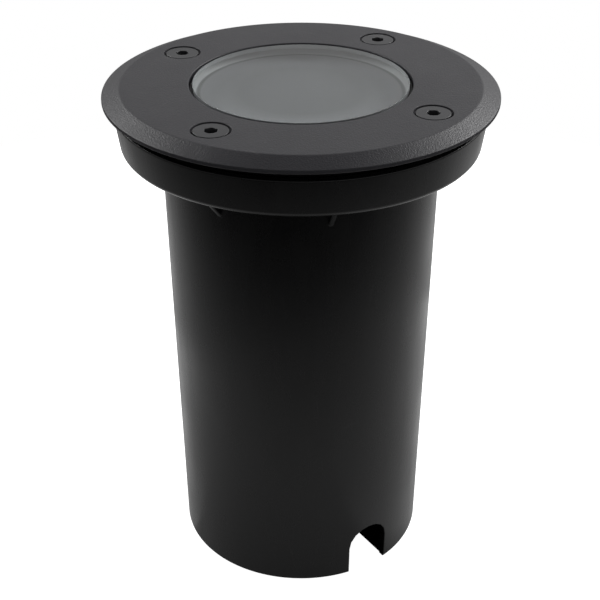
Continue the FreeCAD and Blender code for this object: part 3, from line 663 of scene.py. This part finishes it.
# Machined marks: fine turned lines round the pieces as a height, and a broad stain as a shade
line_scale, stain_ratio = (0.05, 0.05, 1.0), 20.0
machined_marks, given, result = effect("machined_marks", {"Line Size": 0.12},
                                       {"Height": "Float", "Shade": "Float"})
tree = machined_marks
lines = noise(tree, given["Line Size"], roughness=0.6, place=stretched(tree, line_scale))
stain = noise(tree, times(tree, given["Line Size"], stain_ratio), detail=3.0)
fill(tree, result, {"Height": lines, "Shade": masked(tree, stain, *noise_span)})

# Bare metal: turned lines, a slightly uneven tarnish and bright rubbed edges
tarnish_share, bright_share = 0.6, 0.7
metal_gloss, metal_dull = 0.04, 0.10


def metallic(name, colour, tarnish, bright, roughness, line_size, depth, edge_width=0.12):
    made, tree, shader = surface(name, colour, Metallic=1.0)
    marks = used(tree, machined_marks, Line_Size=line_size)
    edges = used(tree, worn_edges, Width=edge_width, Break_Size=0.5)
    stained = coloured(tree, shader, times(tree, marks["Shade"], tarnish_share), colour, tarnish)
    coloured(tree, shader, times(tree, edges["Mask"], bright_share), stained, bright)
    gloss = varied(tree, marks["Shade"], roughness - metal_gloss, roughness + metal_dull)
    fill(tree, shader, {"Roughness": gloss})
    relief(tree, shader, marks["Height"], depth, edges["Soft Normal"])
    return made


bright_brass = metallic("bright_brass", (0.80, 0.60, 0.26), (0.48, 0.33, 0.13), (0.95, 0.80, 0.48),
                        roughness=0.24, line_size=0.10, depth=0.004)
zinc_steel = metallic("zinc_steel", (0.55, 0.57, 0.60), (0.36, 0.38, 0.42), (0.80, 0.81, 0.83),
                      roughness=0.28, line_size=0.08, depth=0.004)
dressed(bright_brass, "terminal_clamps")
dressed(zinc_steel, "terminal_screws", "block_screws")


# Leads: silicone insulated wires, brown and blue from the lampholder to the block, and the earth lead
# in green and yellow from the block to a crimped tag that a screw holds on its boss.
earth_green, earth_yellow = (0.035, 0.20, 0.035), (0.72, 0.55, 0.03)
stripe_half, stripe_end = 0.42, 0.46


def insulation(name, colour, worn_colour):
    return moulded(name, colour, worn_colour, roughness=0.42, grain=0.25, depth=0.003,
                   streak_size=2.0, edge_width=0.1)


# Gives the place on a piece along X, Y and Z
def own_axes(tree):
    return put(tree, "SeparateXYZ", {0: own_place(tree)}).outputs


brown_insulation = insulation("brown_insulation", (0.085, 0.030, 0.012), (0.16, 0.07, 0.04))
blue_insulation = insulation("blue_insulation", (0.022, 0.085, 0.32), (0.06, 0.15, 0.42))
dressed(brown_insulation, "live_lead")
dressed(blue_insulation, "neutral_lead")
earth_insulation = insulation("earth_insulation", earth_green, (0.10, 0.30, 0.10))
tree = earth_insulation.node_tree
across = worked(tree, "ABSOLUTE", own_axes(tree)["X"])
stripe = graded(tree, across, stripe_half, stripe_end, 1.0, 0.0)
coloured(tree, tree.nodes["Principled BSDF"], stripe, earth_green, earth_yellow)
dressed(earth_insulation, "earth_lead")
dressed(zinc_steel, "earth_tag", "earth_screw")


# Lampholder: a glazed ceramic body with keyhole slots and a back plate, on a bent steel strip.
# Two sprung brass contacts stand inside it, and small screws hold it all together.
ceramic = moulded("ceramic", (0.74, 0.72, 0.66), (0.82, 0.80, 0.76), roughness=0.22, grain=0.9, depth=0.006,
                  streak_size=8.0, edge_width=0.4, Coat_Weight=0.35, Coat_Roughness=0.12)
dressed(ceramic, "lampholder_body", "lampholder_back")
dressed(bright_brass, "lampholder_contacts")
dressed(zinc_steel, "holder_bracket", "bracket_screws", "holder_screws")


# Lamp: a replaceable reflector lamp in a finned white shell, with a board of five light sources
# behind a moulded acrylic lens. It turns by its two headed pins into the lampholder.
lamp_top, board_depth, board_thickness = 136.0, 9.6, 1.6
source_circle, source_radius, source_skirt = 13.6, 1.8, 0.2
phosphor_inset, phosphor_blur, skirt_blur = 0.25, 0.10, 0.1
board_colour, phosphor_colour = (0.72, 0.73, 0.71), (0.83, 0.60, 0.06)
lens_gloss, lens_dull, lens_depth = 0.03, 0.07, 0.003

lamp_white = moulded("lamp_white", (0.70, 0.69, 0.66), (0.80, 0.80, 0.78),
                     roughness=0.36, grain=0.5, depth=0.006, Subsurface_Weight=0.15,
                     Subsurface_Radius=(0.002, 0.002, 0.0015), Subsurface_Scale=0.5)
dressed(lamp_white, "lamp_shell")
dressed(zinc_steel, "lamp_pins")


# Gives the place on a piece with its height left out
def flat_place(tree):
    axes = own_axes(tree)
    return put(tree, "CombineXYZ", {0: axes["X"], 1: axes["Y"], 2: 0.0}).outputs[0]


board_white = moulded("board_white", board_colour, (0.60, 0.60, 0.58),
                      roughness=0.30, grain=0.3, depth=0.004)
tree = board_white.node_tree
flat = flat_place(tree)
nearest = measured(tree, "LENGTH", flat)
for x, y in ((source_circle, 0), (0, source_circle), (-source_circle, 0), (0, -source_circle)):
    nearest = worked(tree, "MINIMUM", nearest, measured(tree, "DISTANCE", flat, (x * mm, y * mm, 0)))
phosphor_radius = source_radius - phosphor_inset
phosphor = graded(tree, nearest, phosphor_radius, phosphor_radius + phosphor_blur, 1.0, 0.0)
skirt_top = lamp_top - board_depth + board_thickness + source_skirt
raised = graded(tree, own_axes(tree)["Z"], skirt_top, skirt_top + skirt_blur, 0.0, 1.0)
coloured(tree, tree.nodes["Principled BSDF"], times(tree, phosphor, raised), board_colour, phosphor_colour)
dressed(board_white, "lamp_board")

lens_clear, tree, shader = surface("lens_clear", (0.96, 0.97, 0.97), Transmission_Weight=1.0, IOR=1.49)
skin = used(tree, moulded_skin, Grain_Size=0.8)
edges = used(tree, worn_edges, Width=0.15)
fill(tree, shader, {"Roughness": varied(tree, skin["Streak"], lens_gloss, lens_dull)})
relief(tree, shader, skin["Height"], lens_depth, edges["Soft Normal"])
dressed(lens_clear, "lamp_lens")


# Gasket: a flat silicone ring in the housing's pocket, on which the glass rests.
# It is cut from sheet, and the screws of the trim ring press it.
dressed(silicone, "housing_gasket")


# Glass: a thick stepped disc of toughened glass. Its top is polished, and its ground side and blasted
# underside scatter the light, so the lamp can't be made out through it.
glass_low, glass_step_low, glass_top = 141.03, 145.5, 149.95
glass_flange_radius, glass_radius = 35.0, 30.0
glass_edge, glass_bevel, glass_step_round = 0.05, 0.5, 0.3
frost_radius = 28.4
clear_glass, glass_refraction = (0.93, 0.97, 0.96), 1.5
# Painted light: the pale colours lighten the underside towards its border and past it, where the trim ring
# keeps light off it
frost, frost_pale_and_lit = (0.074, 0.0755, 0.080), (0.185, 0.188, 0.197)
frost_shade, border_painted_light = (0.095, 0.098, 0.102), (0.43, 0.44, 0.45)
ground_pale_and_lit = (0.34, 0.35, 0.36)
polish_gloss, polish_dull = 0.01, 0.05
blast_pale_span, blast_pale, blast_gloss_span, blast_gloss = (0.5, 1.3), 0.25, (0.4, 1.4), (0.50, 0.62)
painted_paling_start, painted_paling_share = 17.0, 0.95
shade_ring_half, shade_ring_end = 0.15, 0.7
border_start, border_end = 0.5, 0.9
grinding_share, grinding_span, grinding_gloss = 0.3, (0.3, 0.7), (0.48, 0.60)
matt_depth = 0.01

disc = turned([
    (0, glass_low, 0),
    (frost_radius, glass_low, 0),
    (glass_flange_radius, glass_low, glass_bevel),
    (glass_flange_radius, glass_step_low, glass_bevel),
    (glass_radius, glass_step_low, glass_step_round),
    (glass_radius, glass_top, glass_edge),
    (0, glass_top, 0),
], steps=300)
for face in disc.faces:
    height = face.calc_center_median().z / mm
    if height < glass_low + touching:
        face.material_index = 1
    elif height < glass_top - glass_edge:
        face.material_index = 2

polished, tree, shader = surface("polished_glass", clear_glass,
                                 Transmission_Weight=1.0, IOR=glass_refraction)
marks = used(tree, handling_marks, Smudge_Size=25.0, Scratch_Size=12.0)
fill(tree, shader, {"Roughness": varied(tree, marks["Smudge"], polish_gloss, polish_dull)})
shadow = put(tree, "LightPath").outputs["Is Shadow Ray"]
clear = put(tree, "BsdfTransparent", {"Color": (*clear_glass, 1)}).outputs[0]
passed = put(tree, "MixShader", {0: shadow, 1: shader.outputs[0], 2: clear}).outputs[0]
fill(tree, tree.nodes["Material Output"], {"Surface": passed})

# The blasted underside is paler with its grain, painted lighter towards its border and lightest past it as
# painted light, and a painted shade darkens it in a ring over the edge of the housing's bore
frosted, tree, shader = surface("frosted_glass", frost, IOR=glass_refraction)
blast = used(tree, powder_grain, Grain_Size=0.15)["Height"]
from_axis = measured(tree, "LENGTH", flat_place(tree))
paler = worked(tree, "ADD", ranged(tree, blast, *blast_pale_span, 0.0, blast_pale),
               graded(tree, from_axis, painted_paling_start, frost_radius, 0.0, painted_paling_share))
clouded_and_lit = coloured(tree, shader, paler, frost, frost_pale_and_lit)
past = graded(tree, from_axis, frost_radius + border_start, frost_radius + border_end, 0.0, 1.0)
clouded_and_lit = coloured(tree, shader, past, clouded_and_lit, border_painted_light)
off_edge = worked(tree, "ABSOLUTE", worked(tree, "SUBTRACT", from_axis, frost_radius * mm))
# Painted shade: a dark ring over the edge of the housing's bore
shaded = graded(tree, off_edge, shade_ring_half, shade_ring_end, 1.0, 0.0)
coloured(tree, shader, shaded, clouded_and_lit, frost_shade)
fill(tree, shader, {"Roughness": ranged(tree, blast, *blast_gloss_span, *blast_gloss)})
relief(tree, shader, blast, matt_depth)

# Painted light: the ground side is partly paler to stand in for light scattered inside the glass
ground, tree, shader = surface("ground_glass", ground_pale_and_lit, IOR=glass_refraction)
grinding = used(tree, machined_marks, Line_Size=0.15)
coloured(tree, shader, times(tree, grinding["Shade"], grinding_share), ground_pale_and_lit, frost_pale_and_lit)
fill(tree, shader, {"Roughness": ranged(tree, grinding["Height"], *grinding_span, *grinding_gloss)})
relief(tree, shader, grinding["Height"], matt_depth)
fitted(disc, "window_glass", "trim", [polished, frosted, ground], ["glass"])


# Glass seal: a black silicone bead between the glass's step and the trim ring. It fills the gap round
# the window to a little over a millimetre below the top face.
window_radius, trim_low, seal_top, seal_fit = 31.0, 147.0, 148.7, 0.1
seal_shoulder_round, seal_top_round = 0.2, 0.18

bead = turned([
    (glass_radius + seal_fit, glass_step_low, 0),
    (glass_flange_radius - seal_fit, glass_step_low, 0),
    (glass_flange_radius - seal_fit, trim_low, seal_shoulder_round),
    (window_radius - seal_fit, trim_low, 0),
    (window_radius - seal_fit, seal_top, seal_top_round),
    (glass_radius + seal_fit, seal_top, seal_top_round),
])
fitted(bead, "window_seal", "trim", [silicone], ["glass_seal"])


# Trim ring: a turned aluminium ring with a broad bevel, powder coated in anthracite.
# Its countersunk holes take the screws, and the edges are broken before it is coated.
trim_radius, trim_top, rim_top, bevel_width = 55.0, 150.0, 148.0, 5.0
window_round, rim_round, foot_edge, bevel_round = 0.3, 0.2, 0.2, 0.3
screw_circle, screw_count, screw_angle = 41.5, 4, 22.5
head_radius, head_recess, shank_radius = 5.0, 0.12, 2.5
sink_clearance, hole_clearance, hole_round, sink_straight = 0.35, 0.25, 0.06, 1.1

ring = turned([
    (window_radius, trim_low, foot_edge),
    (trim_radius, trim_low, foot_edge),
    (trim_radius, rim_top, rim_round),
    (trim_radius - bevel_width, trim_top, bevel_round),
    (trim_radius - bevel_width - 2 * bevel_round, trim_top, 0),
    (window_radius + 2 * window_round, trim_top, 0),
    (window_radius, trim_top, window_round),
], steps=240)
sink_radius = head_radius + sink_clearance
sink_low = trim_top - sink_straight - (sink_radius - shank_radius - hole_clearance)
sinks = turned([
    (0, trim_low - overrun, 0),
    (shank_radius + hole_clearance, trim_low - overrun, 0),
    (shank_radius + hole_clearance, sink_low, 0),
    (sink_radius, trim_top - sink_straight, 0),
    (sink_radius, trim_top - hole_round, hole_round / 2),
    (sink_radius + hole_round, trim_top, 0),
    (sink_radius + 2 * hole_round, trim_top + hole_round, 0),
    (0, trim_top + hole_round, 0),
], steps=64)
ring = combined(ring, repeated(shifted(sinks, screw_circle, 0, 0), screw_count, screw_angle), "DIFFERENCE")
trim_coating = powder_coated("trim_coating", (0.0372, 0.0362, 0.0414), (0.10, 0.10, 0.105),
                             (0.12, 0.12, 0.125), roughness=0.41, grain=0.42, depth=0.05,
                             edge_width=0.3, Specular_IOR_Level=0.35)
fitted(ring, "trim_cover", "trim", [trim_coating], ["trim_ring"], sharp=50.0)


# Trim screws: M5 countersunk screws of stainless steel with a hexagon socket, coated like the ring.
# They are screwed through the ring into the housing's flange, and their heads lie a little below its face.
screw_length, screw_end_round, neck_round, neck_runout = 12.0, 0.2, 0.2, 0.4
head_round, head_rim, rim_foot_round = 0.12, 0.32, 0.1
socket_flats, socket_depth, entry_depth, entry_overrun = 3.4, 1.8, 0.12, 0.3
thread_pitch, thread_depth, thread_end = 0.8, 0.4, 0.5
tooth_root_half, tooth_crest_half, tooth_sink, tooth_drop, tooth_steps = 0.38, 0.06, 0.1, 0.02, 28
head_top = trim_top - head_recess
neck_low = head_top - (head_radius - shank_radius)

screw = turned([
    (0, head_top - screw_length, 0),
    (shank_radius - thread_depth, head_top - screw_length, screw_end_round),
    (shank_radius - thread_depth, neck_low - neck_runout, 0),
    (shank_radius, neck_low, neck_round),
    (head_radius - head_rim, head_top - head_rim, rim_foot_round),
    (head_radius - head_rim, head_top, head_round),
    (0, head_top, 0),
], steps=64)
socket = bmesh.new()
socket_radius = socket_flats / math.sqrt(3)
bmesh.ops.create_cone(socket, cap_ends=True, segments=6, radius1=socket_radius * mm,
                      radius2=socket_radius * mm, depth=2 * socket_depth * mm)
screw = combined(screw, shifted(socket, 0, 0, head_top), "DIFFERENCE")
entry = turned([
    (0, head_top - entry_depth, 0),
    (socket_flats / 2, head_top - entry_depth, 0),
    (socket_flats / 2 + entry_depth + entry_overrun, head_top + entry_overrun, 0),
    (0, head_top + entry_overrun, 0),
], steps=48)
screw = combined(screw, entry, "DIFFERENCE")

# The thread is one tooth's section spun down the shank
tooth = bmesh.new()
thread_low = head_top - screw_length + thread_pitch
root, crest = shank_radius - thread_depth - tooth_sink, shank_radius - tooth_drop
tooth_profile = ((root, -tooth_root_half), (crest, -tooth_crest_half),
                 (crest, tooth_crest_half), (root, tooth_root_half))
section = [tooth.verts.new((radius * mm, 0, (thread_low + height) * mm))
           for radius, height in tooth_profile]
tooth.faces.new(section)
turns = (neck_low - thread_low - thread_end) / thread_pitch
steps = round(turns * tooth_steps)
bmesh.ops.spin(tooth, geom=tooth.verts[:] + tooth.edges[:] + tooth.faces[:], cent=(0, 0, 0), axis=(0, 0, 1),
               dvec=(0, 0, turns * thread_pitch / steps * mm), angle=2 * math.pi * turns, steps=steps)
bmesh.ops.recalc_face_normals(tooth, faces=tooth.faces[:])
work = bpy.data.meshes.new("work")
tooth.to_mesh(work)
tooth.free()
screw.from_mesh(work)
bpy.data.meshes.remove(work)
screw_coating = powder_coated("screw_coating", (0.036, 0.036, 0.039), (0.08, 0.08, 0.085),
                              (0.22, 0.22, 0.23), roughness=0.40, grain=0.22, depth=0.006, edge_width=0.2)
screws = repeated(shifted(screw, screw_circle, 0, 0), screw_count, screw_angle)
fitted(screws, "socket_screws", "screws", [screw_coating], ["trim_screws"])
